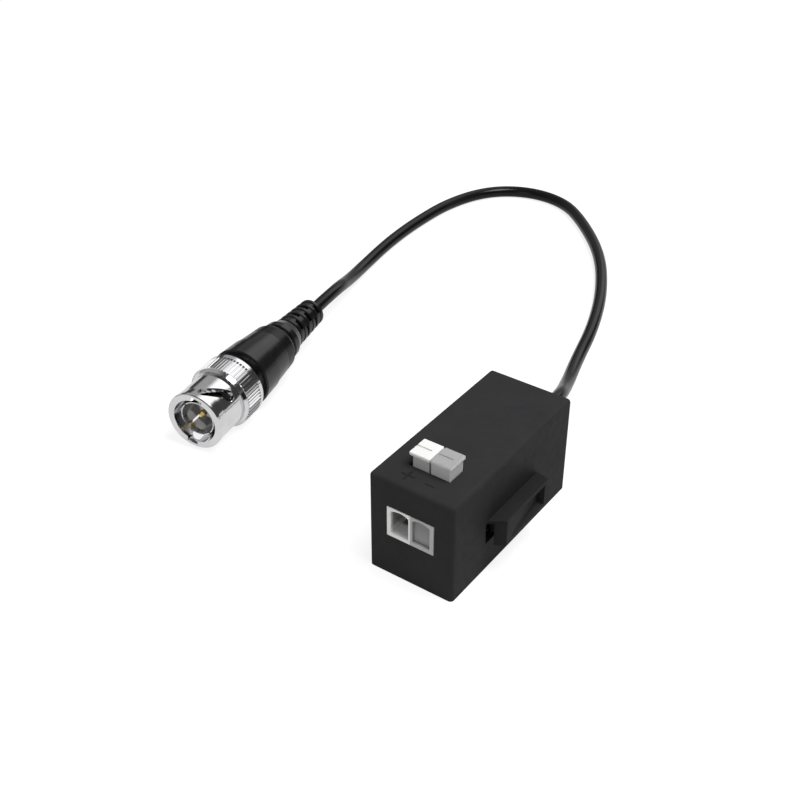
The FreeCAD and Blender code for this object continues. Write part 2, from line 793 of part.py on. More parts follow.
def make_cable():
    """Straight runs joined by tangent arcs, each as large as its two runs allow."""
    start = V(exit_x, exit_y(), exit_z)
    points = [start, start + V(0, lead_out, 0)]
    points += [V(*p) for p in route_on_floor]
    points += [plug_point(plug_len + boot_lead), plug_point(plug_len)]
    edges = []
    at = start
    length = 0.0
    for before, corner, after in zip(points, points[1:], points[2:]):
        back = before - corner
        ahead = after - corner
        turn = math.pi - back.getAngle(ahead)
        reach = arc_share * min(back.Length, ahead.Length)
        radius = reach / math.tan(turn / 2)
        back.normalize()
        ahead.normalize()
        arc_start = corner + back * reach
        arc_end = corner + ahead * reach
        inward = (back + ahead).normalize()
        middle = corner + inward * (radius / math.cos(turn / 2) - radius)
        edges.append(Part.LineSegment(at, arc_start).toShape())
        edges.append(Part.Arc(arc_start, middle, arc_end).toShape())
        length += (arc_start - at).Length + radius * turn
        at = arc_end
        print("cable bend radius", round(radius, 1), "turn", round(math.degrees(turn), 1))
    edges.append(Part.LineSegment(at, points[-1]).toShape())
    length += (points[-1] - at).Length
    section = Part.Wire(Part.makeCircle(cable_r, start, V(0, 1, 0)))
    cable = Part.Wire(edges).makePipeShell([section], True, False)
    print("cable length", round(length, 1), "section times length", round(math.pi * cable_r ** 2 * length, 1))
    return cable


def knurled_band():
    """Straight knurl: flat-topped ridges round the ring."""
    low = ring_r - knurl_d
    step = 360.0 / knurl_count
    points = []
    for i in range(knurl_count):
        for share, radius in ((0.0, low), (0.25, ring_r), (0.6, ring_r), (0.85, low)):
            angle = math.radians((i + share) * step)
            points.append(V(radius * math.cos(angle), knurl_s0, radius * math.sin(angle)))
    return Part.Face(Part.makePolygon(points + points[:1])).extrude(V(0, knurl_s1 - knurl_s0, 0))


def radial_rod(s, angle, radius, r0, r1):
    pin = Part.makeCylinder(radius, r1 - r0, V(r0, s, 0), V(1, 0, 0))
    return about_axis(pin, -angle)


def bayonet_slot():
    """Spiral slot from the locking hole towards the rim, cut through, with a hidden entry groove."""
    outer = ring_r + 1
    inner = bore_r - 1
    bevel = Part.makeCone(lock_r, lock_r + 2 * lock_bevel, 2 * lock_bevel,
                          V(barrel_r - lock_bevel, lock_s, 0), V(1, 0, 0))
    cuts = [radial_rod(lock_s, 0, lock_r, inner, outer), bevel]
    ds = (lock_s - slot_s) / slot_steps
    dt = slot_twist / slot_steps
    arc = math.radians(dt) * barrel_r
    run = math.hypot(ds, arc)
    slant = math.degrees(math.atan2(arc, ds))
    for i in range(slot_steps):
        s = lock_s - (i + 0.5) * ds
        bar = Part.makeBox(outer - inner, run * 1.15, slot_w, V(inner, -run * 1.15 / 2, -slot_w / 2))
        bar.rotate(V(0, 0, 0), V(1, 0, 0), -slant)
        bar.translate(V(0, s, 0))
        cuts.append(about_axis(bar, -(i + 0.5) * dt))
    cuts.append(radial_rod(slot_s, slot_twist, slot_w / 2, inner, outer))
    entry = box(0, entry_r, -1, slot_s, -entry_w / 2, entry_w / 2)
    cuts.append(about_axis(entry, -slot_twist))
    return cuts


def make_coupling_nut():
    skirt = lathe([(0, bore_r), (0, rim_r - 0.15), (0.15, rim_r), (0.7, rim_r), (2.6, barrel_r),
                   (relief_s - relief_step, barrel_r), (relief_s, groove_r), (ring_s0, groove_r),
                   (ring_s0, ring_r - 0.7),
                   (knurl_s0, ring_r - knurl_d), (knurl_s0 + 0.5, ring_r - knurl_d - 0.2),
                   (knurl_s0 + 0.5, bore_r)])
    hub = lathe([(knurl_s1 - 0.5, bore_r), (knurl_s1 - 0.5, ring_r - knurl_d - 0.2),
                 (knurl_s1, ring_r - knurl_d - 0.2), (knurl_s1, ring_r), (ring_s1 - 0.6, ring_r),
                 (ring_s1, ring_r - 0.8), (ring_s1, bore_r)])
    nut = skirt.fuse([knurled_band(), hub])
    nut = nut.cut(lathe([(-1, 0), (-1, bore_r), (bore_depth, bore_r), (bore_depth, neck_r + web_gap),
                         (chamber_s, neck_r + web_gap), (chamber_s, chamber_r), (ring_s1 + 1, chamber_r),
                         (ring_s1 + 1, 0)]))
    nut = nut.cut(tube(snap_s - bore_gap, snap_s + snap_t + bore_gap, chamber_r - 0.5,
                       chamber_r + snap_bite + bore_gap))
    cuts = []
    for half_turn in (0, 180):
        for cut in bayonet_slot():
            cuts.append(about_axis(cut, -(lock_angle + half_turn)))
    return nut.cut(Part.makeCompound(cuts[:len(cuts) // 2])).cut(
        Part.makeCompound(cuts[len(cuts) // 2:])).removeSplitter()


def make_plug_body():
    """Turned body: neck, flange that the nut turns on, collar and crimp stem."""
    flange_r = chamber_r - run_gap
    outer = [(neck_s, sleeve_r + seat_gap), (neck_s, neck_r), (flange_s0, neck_r),
             (flange_s0, flange_r), (flange_s1, flange_r), (flange_s1, collar_r), (collar_s1, collar_r),
             (collar_s1, stem_r), (stem_s1, stem_r), (stem_s1, stem_bore_r), (sleeve_seat + body_step, stem_bore_r),
             (sleeve_seat + body_step, sleeve_bore_r), (sleeve_seat, sleeve_bore_r), (sleeve_seat, sleeve_r + seat_gap)]
    return lathe(outer)


def make_ground_sleeve():
    sleeve = lathe([(sleeve_s, sleeve_bore_r + 0.15), (sleeve_s, sleeve_r - 0.1), (sleeve_s + 0.5, sleeve_r + 0.06),
                    (sleeve_s + 1.4, sleeve_r), (sleeve_seat, sleeve_r), (sleeve_seat, sleeve_bore_r),
                    (sleeve_s + 1.2, sleeve_bore_r)])
    cuts = []
    for i in range(sleeve_slots):
        slit = box(0, sleeve_r + 1, 0, sleeve_slot_s, -sleeve_slot_w / 2, sleeve_slot_w / 2)
        cuts.append(about_axis(slit, 45 + i * 360.0 / sleeve_slots))
    return sleeve.cut(Part.makeCompound(cuts))


def make_insulator():
    outer_r = sleeve_bore_r - bore_gap
    hole = contact_r + bore_gap
    end = sleeve_seat + body_step - 0.05
    return lathe([(insulator_s, hole), (insulator_s, insulator_nose_r), (insulator_s + 1.9, insulator_nose_r),
                  (insulator_s + 1.9, outer_r), (end, outer_r), (end, hole)])


def make_centre_pin():
    return lathe([(contact_s, 0), (contact_s, contact_r * 0.45), (contact_s + 0.6, contact_r),
                  (contact_rear, contact_r), (contact_rear, 0)])


def make_gasket():
    return tube(neck_s - gasket_t, neck_s, sleeve_r + bore_gap, neck_r + web_gap - run_gap)


def make_spring_washer():
    """Ring cut from a bent sheet: its middle bears on the flange, its ends on the snap ring."""
    ring = tube(flange_s1, snap_s, collar_r + face_gap, chamber_r - face_gap)
    centre = V(-ring_r, flange_s1 + 0.03 + washer_bend + washer_t, 0)
    across = V(1, 0, 0)
    sheet = Part.makeCylinder(washer_bend + washer_t, 2 * ring_r, centre, across).cut(
        Part.makeCylinder(washer_bend, 2 * ring_r, centre, across))
    return ring.common(sheet).Solids[0]


def make_snap_ring():
    ring = tube(snap_s, snap_s + snap_t, collar_r + run_gap, chamber_r + snap_bite)
    return ring.cut(box(0, ring_r, snap_s - 1, snap_s + 2, -snap_mouth / 2, snap_mouth / 2))


def make_crimp_ferrule():
    r_in = stem_r + 0.25
    return tube(collar_s1 + 0.3, ferrule_s1, r_in, r_in + ferrule_t)


def make_plug_cable_end():
    """Dielectric and wire from the pin's rear end back to the jacket inside the boot."""
    core = rod(dielectric_r, V(0, contact_rear, 0), V(0, ferrule_s1, 0))
    jacket = rod(cable_r, V(0, ferrule_s1, 0), V(0, plug_len, 0))
    return core.fuse(jacket)


def rib_places():
    """Start of each rib along the axis and its radius, small towards the cable."""
    last = plug_len - rib_t
    first = last - (rib_count - 1) * rib_pitch
    for i in range(rib_count):
        share = i / (rib_count - 1)
        yield first + i * rib_pitch, rib_r0 + (rib_r1 - rib_r0) * share


def make_boot():
    s_front = collar_s1
    hollow = stem_r + 0.25 + ferrule_t + bore_gap
    outline = [(ferrule_s1, hollow), (s_front, hollow), (s_front, boot_front_r - 0.3),
               (s_front + 0.3, boot_front_r), (boot_step_s, boot_step_r), (boot_step_s + 0.12, boot_step_r - 0.15)]
    slope = (boot_rear_r - boot_step_r + 0.15) / (boot_rear_s - boot_step_s - 0.12)

    def skin(s):
        return boot_step_r - 0.15 + slope * (s - boot_step_s - 0.12)

    first = boot_rear_s - groove_count * groove_pitch + 0.2
    for i in range(groove_count):
        s = first + i * groove_pitch
        outline += [(s, skin(s)), (s + 0.13, skin(s) - fine_d), (s + 0.26, skin(s + 0.26))]
    outline += [(boot_rear_s, skin(boot_rear_s)), (waist_s - 0.7, boot_rear_r - 0.5),
                (waist_s - 0.3, shoulder_r - 0.5), (waist_s + 0.2, shoulder_r - 0.5),
                (waist_s + 0.5, shoulder_r), (shoulder_s, shoulder_r - 0.1), (taper_s, rib_r0 + 0.1)]
    for s, radius in rib_places():
        if s > taper_s:
            outline += [(s - 0.02, core_r), (s, radius - 0.2), (s + 0.2, radius),
                        (s + rib_t - 0.2, radius), (s + rib_t, radius - 0.2)]
        else:
            outline += [(s + rib_t - 0.2, radius), (s + rib_t, radius - 0.2)]
        if s + rib_t < plug_len - 0.1:
            outline.append((s + rib_t + 0.02, core_r))
    bore = cable_r + bore_gap
    outline += [(plug_len, bore), (ferrule_s1, bore)]
    boot = lathe(outline)
    cuts = []
    starts = [s + rib_t for s, _ in rib_places()][:-1]
    for i, s in enumerate(starts):
        gap = rib_pitch - rib_t
        for half_turn in (0, 180):
            wedge = Part.Face(Part.makePolygon([
                V(relief_r, s, 0), V(relief_r, s + gap, 0), V(core_r + 0.3, s + gap, 0),
                V(core_r + 0.3, s, 0), V(relief_r, s, 0)])).revolve(V(0, 0, 0), V(0, 1, 0), relief_angle)
            cuts.append(about_axis(wedge, half_turn + 90 * (i % 2) - relief_angle / 2))
    return boot.cut(Part.makeCompound(cuts))


def main():
    save("housing_shell", make_shell())
    save("base_cover", make_cover())
    save("circuit_board", make_board())
    save("balun_core", make_core())
    mid = board_top + core_h / 2
    first = mid - turn_gap * (turns - 1) / 2
    save("balun_windings", *[make_turn(first + i * turn_gap) for i in range(turns)])
    save("surge_suppressor", make_suppressor())
    save("chip_capacitors", *chips(cap_size, cap_x, row_places()[2]))
    save("chip_resistors", *chips(res_size, res_x, row_places()[3]))
    for name, sign in (("plus", -1), ("minus", 1)):
        save("terminal_body_" + name, make_terminal(sign))
        save("contact_" + name, make_contact(sign))
        save("clamp_spring_" + name, make_clamp_spring(sign))
        save("button_" + name, make_button(sign))
    save("cable_gland", make_gland())
    save("cable_clip", make_cable_clip())
    save("cable_board_end", make_cable_board_end())
    save("stripped_end", make_stripped_end())
    save("braid_tail", make_braid_tail())
    save("coax_cable", make_cable())
    save("coupling_nut", on_plug(make_coupling_nut()))
    save("plug_body", on_plug(make_plug_body()))
    save("ground_sleeve", on_plug(make_ground_sleeve()))
    save("insulator", on_plug(make_insulator()))
    save("centre_pin", on_plug(make_centre_pin()))
    save("face_gasket", on_plug(make_gasket()))
    save("spring_washer", on_plug(make_spring_washer()))
    save("snap_ring", on_plug(make_snap_ring()))
    save("crimp_ferrule", on_plug(make_crimp_ferrule()))
    save("plug_cable_end", on_plug(make_plug_cable_end()))
    save("plug_boot", on_plug(make_boot()))


main()
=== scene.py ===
"""Looks of the video balun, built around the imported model. Metres, in the model's own frame."""
import json
import math

import bmesh
import bpy
from mathutils import Matrix, Vector


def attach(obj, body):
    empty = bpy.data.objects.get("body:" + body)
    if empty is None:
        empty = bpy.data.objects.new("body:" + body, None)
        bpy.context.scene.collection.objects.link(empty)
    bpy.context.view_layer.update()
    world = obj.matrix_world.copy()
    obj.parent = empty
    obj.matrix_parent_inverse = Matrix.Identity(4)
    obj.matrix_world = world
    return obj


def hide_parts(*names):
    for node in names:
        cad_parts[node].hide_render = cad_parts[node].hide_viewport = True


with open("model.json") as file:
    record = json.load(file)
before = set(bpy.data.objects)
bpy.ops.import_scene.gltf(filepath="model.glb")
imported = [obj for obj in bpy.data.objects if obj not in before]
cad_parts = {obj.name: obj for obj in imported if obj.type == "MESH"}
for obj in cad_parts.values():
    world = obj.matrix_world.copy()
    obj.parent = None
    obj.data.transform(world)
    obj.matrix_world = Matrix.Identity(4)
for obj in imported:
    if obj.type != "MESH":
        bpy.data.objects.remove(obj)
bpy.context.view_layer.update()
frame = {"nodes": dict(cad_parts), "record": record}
nodes = frame["nodes"]
MM = 0.001

# Camera, fitted to the box's edges in the photograph
TARGET = Vector((-35.040, 25.839, 0.0)) * MM
AZIMUTH = math.radians(35.4855)
ELEVATION = math.radians(34.7730)
DISTANCE = 270.878 * MM
LENS_MM = 55.678
SENSOR_MM = 36.0
CLIP_NEAR = 5.0 * MM
CLIP_FAR = 10.0


def make_camera():
    away = Vector((math.sin(AZIMUTH) * math.cos(ELEVATION),
                   -math.cos(AZIMUTH) * math.cos(ELEVATION),
                   math.sin(ELEVATION)))
    data = bpy.data.cameras.new("camera")
    data.lens = LENS_MM
    data.sensor_width = SENSOR_MM
    data.sensor_fit = "HORIZONTAL"
    data.clip_start = CLIP_NEAR
    data.clip_end = CLIP_FAR
    camera = bpy.data.objects.new("camera", data)
    camera.location = TARGET + away * DISTANCE
    camera.rotation_euler = away.to_track_quat("Z", "Y").to_euler()
    bpy.context.scene.collection.objects.link(camera)
    bpy.context.scene.camera = camera


# Textures: places per metre and detail
DRIFT = (140.0, 3.0)         # slow change of a plastic's colour
GLOSS = (700.0, 5.0)         # uneven gloss of a plastic
PATCHES = (300.0, 4.0)       # duller patches of a metal
POLISH = (2500.0, 3.0)       # polishing marks of a metal
GRAIN_PER_M = 9000.0         # moulded grain, where a material has none of its own
GRAIN_DETAIL = 2.0
NOISE_ROUGHNESS = 0.6

# Bumps: height in mm and strength
GRAIN_MM = 0.012
GRAIN_STRENGTH = 0.5
POLISH_MM = 0.004
POLISH_STRENGTH = 0.15

RAMP_START = 0.3             # values of a texture between which a colour runs
RAMP_STOP = 0.7
TARNISH = 0.9                # duller patches against the plain metal


def new_material(name):
    material = bpy.data.materials.new(name)
    material.use_nodes = True
    tree = material.node_tree
    shader = tree.nodes["Principled BSDF"]
    return material, tree, shader


def link(tree, source, output, target, socket):
    tree.links.new(source.outputs[output], target.inputs[socket])


def noise(tree, coords, scale, detail):
    node = tree.nodes.new("ShaderNodeTexNoise")
    node.inputs["Scale"].default_value = scale
    node.inputs["Detail"].default_value = detail
    node.inputs["Roughness"].default_value = NOISE_ROUGHNESS
    link(tree, coords, "Object", node, "Vector")
    return node


def ramp(tree, source, low, high):
    """Two colours spread between two stops of a texture."""
    node = tree.nodes.new("ShaderNodeValToRGB")
    link(tree, source, "Fac", node, "Fac")
    first, last = node.color_ramp.elements
    first.position = RAMP_START
    first.color = (*low, 1.0)
    last.position = RAMP_STOP
    last.color = (*high, 1.0)
    return node


def uneven_roughness(tree, source, shader, rough):
    """Roughness between two values, by a texture."""
    low, high = rough
    spread = ramp(tree, source, (low, low, low), (high, high, high))
    link(tree, spread, "Color", shader, "Roughness")


def bump(tree, source, shader, strength, depth_mm):
    node = tree.nodes.new("ShaderNodeBump")
    node.inputs["Strength"].default_value = strength
    node.inputs["Distance"].default_value = depth_mm * MM
    link(tree, source, "Fac", node, "Height")
    link(tree, node, "Normal", shader, "Normal")


def math_node(tree, operation, a, b=None):
    """A math node whose inputs are numbers or (node, output) pairs."""
    node = tree.nodes.new("ShaderNodeMath")
    node.operation = operation
    for index, value in enumerate((a, b)):
        if isinstance(value, tuple):
            link(tree, value[0], value[1], node, index)
        elif value is not None:
            node.inputs[index].default_value = value
    return node


def fade(tree, source, output, begin, full, outside, inside):
    """A soft step between two places; its second value may be a node."""
    node = tree.nodes.new("ShaderNodeMapRange")
    node.interpolation_type = "SMOOTHSTEP"
    link(tree, source, output, node, "Value")
    node.inputs["From Min"].default_value = begin
    node.inputs["From Max"].default_value = full
    node.inputs["To Min"].default_value = outside
    if isinstance(inside, float):
        node.inputs["To Max"].default_value = inside
    else:
        link(tree, inside, "Result", node, "To Max")
    return node


def painted_light_factors(tree, coords, painted_light_steps):
    """Painted shade and painted light: factors on a colour along the piece, each step reached by way of the
    one before it.
    """
    place = tree.nodes.new("ShaderNodeSeparateXYZ")
    link(tree, coords, "Object", place, "Vector")
    inside = None
    for axis, begin_mm, full_mm, outside, value in reversed(painted_light_steps):
        inside = fade(tree, place, axis, begin_mm * MM, full_mm * MM, outside, inside or value)
    return inside


def moulded(name, low, high, rough, grain_per_m=GRAIN_PER_M, grain_mm=GRAIN_MM, specular=0.5, painted_light_steps=()):
    """Moulded plastic: faint colour drift, uneven gloss and a fine grain, with painted shade and painted
    light along the piece where given.
    """
    material, tree, shader = new_material(name)
    coords = tree.nodes.new("ShaderNodeTexCoord")
    drift = noise(tree, coords, *DRIFT)
    colour = ramp(tree, drift, low, high)
    # painted shade and painted light: the colour scaled by factors along the piece
    if painted_light_steps:
        scaled = tree.nodes.new("ShaderNodeVectorMath")
        scaled.operation = "SCALE"
        link(tree, colour, "Color", scaled, 0)
        link(tree, painted_light_factors(tree, coords, painted_light_steps), "Result", scaled, "Scale")
        link(tree, scaled, "Vector", shader, "Base Color")
    else:
        link(tree, colour, "Color", shader, "Base Color")
    gloss = noise(tree, coords, *GLOSS)
    uneven_roughness(tree, gloss, shader, rough)
    grain = noise(tree, coords, grain_per_m, GRAIN_DETAIL)
    bump(tree, grain, shader, GRAIN_STRENGTH, grain_mm)
    shader.inputs["Specular IOR Level"].default_value = specular
    return material


def metal(name, colour, rough):
    """Plated metal: faint polishing marks and slightly duller patches."""
    material, tree, shader = new_material(name)
    coords = tree.nodes.new("ShaderNodeTexCoord")
    shader.inputs["Metallic"].default_value = 1.0
    patches = noise(tree, coords, *PATCHES)
    dull = tuple(c * TARNISH for c in colour)
    tint = ramp(tree, patches, dull, colour)
    link(tree, tint, "Color", shader, "Base Color")
    fine = noise(tree, coords, *POLISH)
    uneven_roughness(tree, fine, shader, rough)
    bump(tree, fine, shader, POLISH_STRENGTH, POLISH_MM)
    return material


SMOOTH_LIMIT = math.cos(math.radians(30.0))      # faces that share a normal where they meet
ROUND_LIMIT = math.cos(math.radians(14.0))       # a face against the cylinder or cone that it is part of
SHORTEST_RUN = 0.002 * MM                        # along the axis; below it a face is square to the axis
PLACE_DIGITS = 7


def place_of(mesh, index):
    """A corner's place, rounded so that corners on both sides of a seam count as one."""
    return tuple(round(c, PLACE_DIGITS) for c in mesh.vertices[index].co)


def even_normals(mesh):
    """Normals shared by faces that meet at a place within an angle, also across a seam."""
    around = {}
    for polygon in mesh.polygons:
        for index in polygon.vertices:
            around.setdefault(place_of(mesh, index), []).append((polygon.normal, polygon.area))
    normals = []
    for polygon in mesh.polygons:
        for index in polygon.vertices:
            total = Vector()
            for normal, area in around[place_of(mesh, index)]:
                if normal.dot(polygon.normal) > SMOOTH_LIMIT:
                    total += normal * area
            normals.append(total.normalized() if total.length else polygon.normal)
    mesh.normals_split_custom_set(normals)


# Turned pieces: a point on the axis and the axis' direction
PLUG_YAW = math.radians(9.45)
PLUG_AXIS = (Vector((-58.6, -13.2, 7.25)) * MM, Vector((-math.sin(PLUG_YAW), math.cos(PLUG_YAW), 0.0)))
GLAND_AXIS = (Vector((-2.0, 0.0, 8.0)) * MM, Vector((0.0, 1.0, 0.0)))
TURNED = {name: PLUG_AXIS for name in (
    "coupling_nut", "plug_body", "ground_sleeve", "insulator", "centre_pin", "face_gasket", "snap_ring",
    "crimp_ferrule", "plug_cable_end", "plug_boot")}
TURNED.update({name: GLAND_AXIS for name in ("cable_gland", "cable_clip", "cable_board_end")})


def turned_normals(mesh, origin, axis):
    """True normals of cylinders and cones about an axis; every other face stays flat."""
    normals = []
    for polygon in mesh.polygons:
        places = []
        for index in polygon.vertices:
            offset = mesh.vertices[index].co - origin
            along = offset.dot(axis)
            out = offset - axis * along
            places.append((along, out.length, out.normalized()))
        middle = polygon.center - origin
        outward = (middle - axis * middle.dot(axis)).normalized()
        low = min(places, key=lambda p: p[0])
        high = max(places, key=lambda p: p[0])
        run = high[0] - low[0]
        rise = high[1] - low[1]
        radial = polygon.normal.dot(outward)
        round_face = False
        if run > SHORTEST_RUN:
            slope = math.hypot(run, rise)
            sign = 1.0 if radial > 0 else -1.0
            true = (outward * run - axis * rise) * (sign / slope)
            round_face = true.dot(polygon.normal) > ROUND_LIMIT
        for _, _, direction in places:
            if round_face:
                normals.append((direction * run - axis * rise) * (sign / slope))
            else:
                normals.append(polygon.normal.copy())
    mesh.normals_split_custom_set(normals)


def dress(name, material):
    obj = nodes[name]
    obj.data.materials.clear()
    obj.data.materials.append(material)
    for polygon in obj.data.polygons:
        polygon.use_smooth = True
    if name in TURNED:
        turned_normals(obj.data, *TURNED[name])
    else:
        even_normals(obj.data)


# Painted shade and painted light along a piece: axis, where a step begins and is full in mm, factors before
# and after it
# painted shade: the housing beyond x 12.6 mm, the rail's outer face and its recess, darkened to 0.84
RAIL_OUTSIDE_PAINTED_SHADE = (("X", 12.6, 13.1, 1.0, 0.84),)
# painted shade: the white button below its cap, darkened to 0.62 as under the cap's lip
WHITE_STEM_PAINTED_SHADE = (("Z", 23.52, 23.42, 1.0, 0.62),)
# painted light on the grey button's stem below its cap, lighter by 1.8; painted shade on its gate in the
# wire way's mouth, 0.60 growing to 0.80 further down
GREY_STEM_PAINTED_LIGHT_GATE_PAINTED_SHADE = (("Z", 24.25, 24.10, 1.0, None), ("Z", 17.5, 16.5, 1.8, None),
                      ("Z", 14.0, 10.5, 0.60, 0.80))
# painted shade inside the white terminal's wire way: beyond its mouth darkened to 0.27, less near its floor
# (0.90)
WHITE_WAY_PAINTED_SHADE = (("Y", -20.3, -19.3, 1.0, None), ("Z", 10.0, 11.6, 0.90, 0.27))

# Pieces whose look isn't just their slot's
OWN_LOOKS = {"terminal_body_plus": "white_moulding_painted_way_shade", "terminal_body_minus": "grey_moulding"}


SATIN = {"grain_per_m": 6000.0, "grain_mm": 0.006}
SHINY = {"grain_per_m": 5000.0, "grain_mm": 0.01}

# Plastics and other dull materials: colour from and to, roughness from and to, what isn't as usual
MOULDED = {
    # housing_plastic: painted shade on the rail's outer face
    "housing_plastic": ((0.0267, 0.0267, 0.0280), (0.0312, 0.0312, 0.0327), (0.55, 0.68),
                        {"specular": 0.05, "painted_light_steps": RAIL_OUTSIDE_PAINTED_SHADE}),
    # white_plastic: painted shade on the button's stem below its cap
    "white_plastic": ((0.80, 0.80, 0.79), (0.86, 0.86, 0.85), (0.35, 0.50), {**SATIN, "painted_light_steps": WHITE_STEM_PAINTED_SHADE}),
    # white moulding with painted shade inside the wire way
    "white_moulding_painted_way_shade": ((0.84, 0.84, 0.83), (0.90, 0.90, 0.89), (0.35, 0.50), {**SATIN, "painted_light_steps": WHITE_WAY_PAINTED_SHADE}),
    # grey_plastic: painted light on the button's stem, painted shade on its gate
    "grey_plastic": ((0.335, 0.335, 0.335), (0.372, 0.372, 0.372), (0.35, 0.50),
                     {**SATIN, "painted_light_steps": GREY_STEM_PAINTED_LIGHT_GATE_PAINTED_SHADE}),
    "grey_moulding": ((0.44, 0.44, 0.44), (0.48, 0.48, 0.48), (0.35, 0.50), SATIN),
    "mark_ink": ((0.012, 0.012, 0.012), (0.017, 0.017, 0.017), (0.60, 0.80), {"specular": 0.1}),
    "cable_jacket": ((0.004, 0.004, 0.0045), (0.007, 0.007, 0.0075), (0.16, 0.24),
                     {**SHINY, "specular": 0.2}),
    "boot_plastic": ((0.006, 0.006, 0.0065), (0.010, 0.010, 0.0105), (0.15, 0.26),
                     {**SHINY, "specular": 0.4}),
    "gland_rubber": ((0.008, 0.008, 0.008), (0.012, 0.012, 0.012), (0.50, 0.65), {}),
    "seal_rubber": ((0.02, 0.02, 0.02), (0.03, 0.03, 0.03), (0.60, 0.75), {}),
    "insulator_plastic": ((0.78, 0.78, 0.75), (0.84, 0.84, 0.81), (0.35, 0.45),
                          {"grain_per_m": 4000.0, "grain_mm": 0.004}),
    "dielectric": ((0.75, 0.75, 0.72), (0.80, 0.80, 0.77), (0.40, 0.50), {}),
    "board_laminate": ((0.012, 0.09, 0.03), (0.018, 0.12, 0.04), (0.30, 0.40), {}),
    "ferrite": ((0.02, 0.02, 0.022), (0.035, 0.035, 0.037), (0.50, 0.70), {}),
    "epoxy": ((0.012, 0.012, 0.012), (0.02, 0.02, 0.02), (0.40, 0.55), {}),
    "chip_ceramic": ((0.35, 0.25, 0.15), (0.42, 0.30, 0.19), (0.30, 0.50), {}),
}

# Metals: colour, and roughness from and to
METALS = {
    "nickel_plate": ((0.80, 0.80, 0.81), (0.08, 0.16)),
    "spring_steel": ((0.62, 0.62, 0.63), (0.20, 0.30)),
    "tinned_brass": ((0.72, 0.71, 0.68), (0.25, 0.35)),
    "gold_contact": ((0.83, 0.62, 0.25), (0.12, 0.20)),
    "copper_braid": ((0.75, 0.42, 0.25), (0.30, 0.40)),
    "enamelled_copper": ((0.60, 0.22, 0.08), (0.20, 0.30)),
}


def make_materials():
    made = {}
    for name, (low, high, rough, unusual) in MOULDED.items():
        made[name] = moulded(name, low, high, rough, **unusual)
    for name, (colour, rough) in METALS.items():
        made[name] = metal(name, colour, rough)
    return made


# Free cable: the route of the CAD tube as the control points of a smooth curve
CABLE_D = 3.0 * MM
CABLE_STEPS = 16         # of the curve between two control points
CABLE_ROUNDNESS = 8
CABLE_ORDER = 3
CABLE_ROUTE_MM = [
    (-2.0, 25.2, 8.0),
    (-2.0, 35.7, 8.0),
    (-6.0, 47.5, 3.2),
    (-10.2, 60.0, 1.5),
    (-14.0, 75.0, 1.5),
    (-20.3, 91.5, 1.5),
    (-29.8, 108.5, 1.5),
    (-42.7, 122.6, 1.5),
    (-52.9, 130.3, 1.5),
    (-64.5, 130.6, 1.5),
    (-74.1, 124.1, 1.5),
    (-79.0, 111.1, 1.5),
    (-79.6, 94.8, 1.5),
    (-78.7, 81.5, 1.5),
    (-76.5, 68.6, 1.6),
    (-73.0, 57.3, 3.4),
    (-68.467, 46.083, 7.25),
    (-66.579, 34.740, 7.25),
]


def make_cable(material):
    data = bpy.data.curves.new("free_cable", "CURVE")
    data.dimensions = "3D"
    data.resolution_u = CABLE_STEPS
    data.bevel_depth = CABLE_D / 2
    data.bevel_resolution = CABLE_ROUNDNESS
    data.use_fill_caps = True
    spline = data.splines.new("NURBS")
    spline.points.add(len(CABLE_ROUTE_MM) - 1)
    for point, place in zip(spline.points, CABLE_ROUTE_MM):
        point.co = (place[0] * MM, place[1] * MM, place[2] * MM, 1.0)
    spline.order_u = CABLE_ORDER
    spline.use_endpoint_u = True
    spline.use_smooth = True
    data.materials.append(material)
    cable = bpy.data.objects.new("free_cable", data)
    bpy.context.scene.collection.objects.link(cable)
    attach(cable, "housing")
    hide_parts("coax_cable")


# Webs that join the boot's ribs, staggered from gap to gap
RIB_COUNT = 6
RIB_PITCH = 2.03 * MM
RIB_T = 1.1 * MM
RIB_R_FIRST = 3.8 * MM
RIB_R_LAST = 3.2 * MM
BOOT_END = 48.6 * MM
WEB_BELOW_RIB = 0.22 * MM
WEB_INNER_R = 2.25 * MM
WEB_BITE = 0.06 * MM     # into the rib on each side
WEBS_PER_GAP = 4
WEB_ANGLE = math.radians(48.0)
WEB_STEPS = 6


def add_sector(form, s0, s1, outer, middle_angle):
    """A closed block between two radii, two stations and two angles about the plug's axis."""
    origin, axis = PLUG_AXIS
    side = Vector((math.cos(PLUG_YAW), math.sin(PLUG_YAW), 0.0))
    up = Vector((0.0, 0.0, 1.0))
    rings = []
    for step in range(WEB_STEPS + 1):
        angle = middle_angle + WEB_ANGLE * (step / WEB_STEPS - 0.5)
        out = side * math.cos(angle) + up * math.sin(angle)
        rings.append([form.verts.new(origin + axis * s + out * r)
                      for s, r in ((s0, WEB_INNER_R), (s0, outer), (s1, outer), (s1, WEB_INNER_R))])
    form.faces.new(rings[0])
    form.faces.new(rings[-1][::-1])
    for before, after in zip(rings, rings[1:]):
        for index in range(4):
            form.faces.new((before[index - 1], before[index], after[index], after[index - 1]))


def closed_piece(form, name, material):
    """An object from closed forms, with their faces turned outwards."""
    bmesh.ops.recalc_face_normals(form, faces=form.faces)
    mesh = bpy.data.meshes.new(name)
    form.to_mesh(mesh)
    form.free()
    mesh.materials.append(material)
    piece = bpy.data.objects.new(name, mesh)
    bpy.context.scene.collection.objects.link(piece)
    return piece


